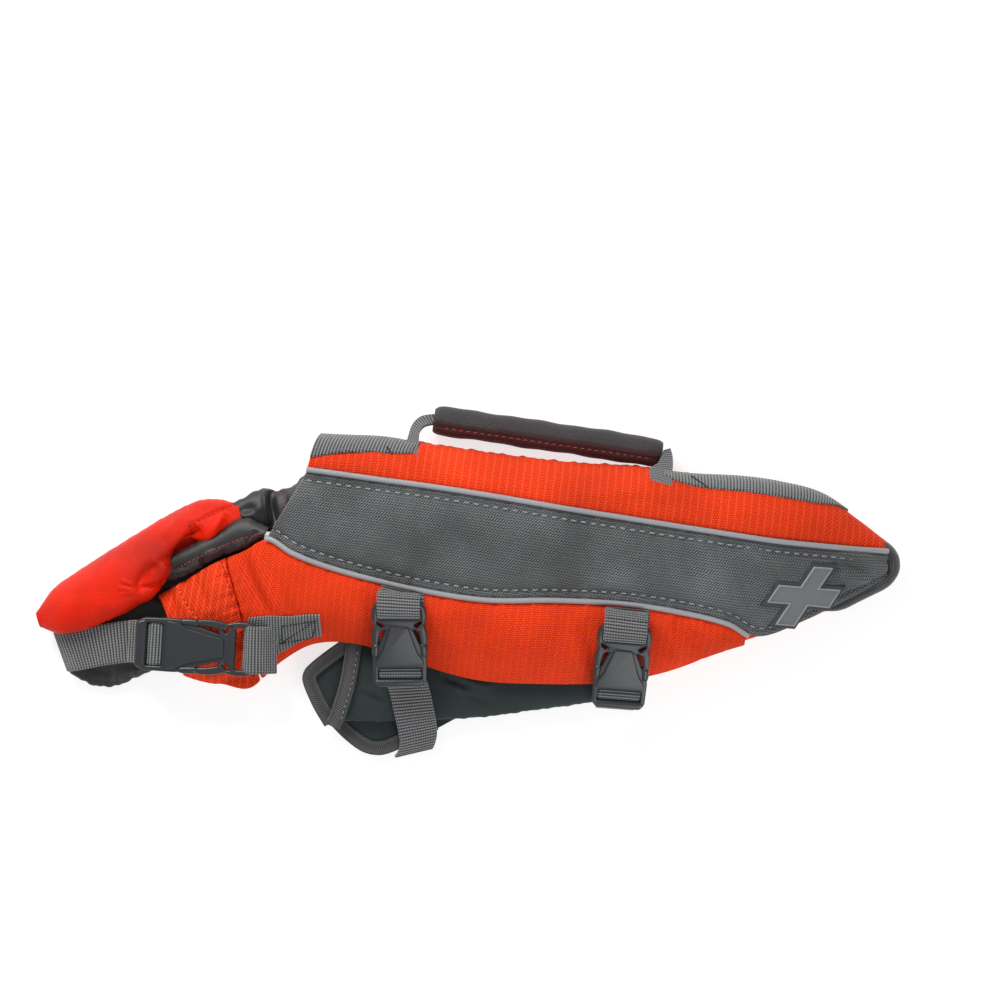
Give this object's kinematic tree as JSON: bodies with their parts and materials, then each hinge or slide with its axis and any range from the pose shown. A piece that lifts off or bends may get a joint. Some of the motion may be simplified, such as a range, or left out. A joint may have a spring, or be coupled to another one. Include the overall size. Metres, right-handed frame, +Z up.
{
  "type": "dog life jacket",
  "caption": "Small dog's flotation vest folded on its side, with foam panels, chin float, carry handle, belly band and fastened side release buckles",
  "frame": {"origin": "middle of the bounding box, on the surface that the folded jacket lies on", "axes": "+X from the neck to the tail, +Y from the belly edge to the spine, +Z up out of the left side, which lies on top"},
  "size_m": [0.5006, 0.21, 0.0531],
  "materials": {
    "ripstop": "bright orange ripstop nylon",
    "oxford": "grey oxford cloth",
    "satin": "red orange satin weave",
    "lining": "dark smooth lining",
    "webbing": "grey ribbed webbing",
    "buckle": "dark grey moulded",
    "piping": "silver reflective piping",
    "neoprene": "dark green neoprene",
    "binding": "ribbed edge tape",
    "sleeve": "charcoal and maroon padded sleeve",
    "rubber": "soft grey rubber"
  },
  "bodies": {
    "root": {"back_panel": "ripstop", "flank_panel": "ripstop", "chest_wing": "ripstop", "right_side": "ripstop", "side_panel": "oxford", "chin_float": "satin", "folded_layers": "lining", "neck_facing": "lining", "neck_lining": "lining", "far_wing": "lining", "spine_webbing_front": "webbing", "spine_webbing_rear": "webbing", "handle_foot_front": "webbing", "handle_foot_rear": "webbing", "girth_strap_front": "webbing", "girth_strap_rear": "webbing", "girth_strap_front_lower": "webbing", "girth_strap_rear_lower": "webbing", "chest_strap_left": "webbing", "chest_strap_right": "webbing", "front_buckle_male": "buckle", "front_buckle_female": "buckle", "rear_buckle_male": "buckle", "rear_buckle_female": "buckle", "chest_buckle_male": "buckle", "chest_buckle_female": "buckle", "upper_piping": "piping", "lower_piping": "piping", "belly_band": "neoprene", "band_end_flap": "neoprene", "band_lower_layer": "neoprene", "band_end_binding": "binding", "band_flap_binding": "binding", "band_lower_binding": "binding", "tail_binding": "binding", "handle_sleeve": "sleeve", "tail_patch": "rubber"}
  },
  "joints": []
}
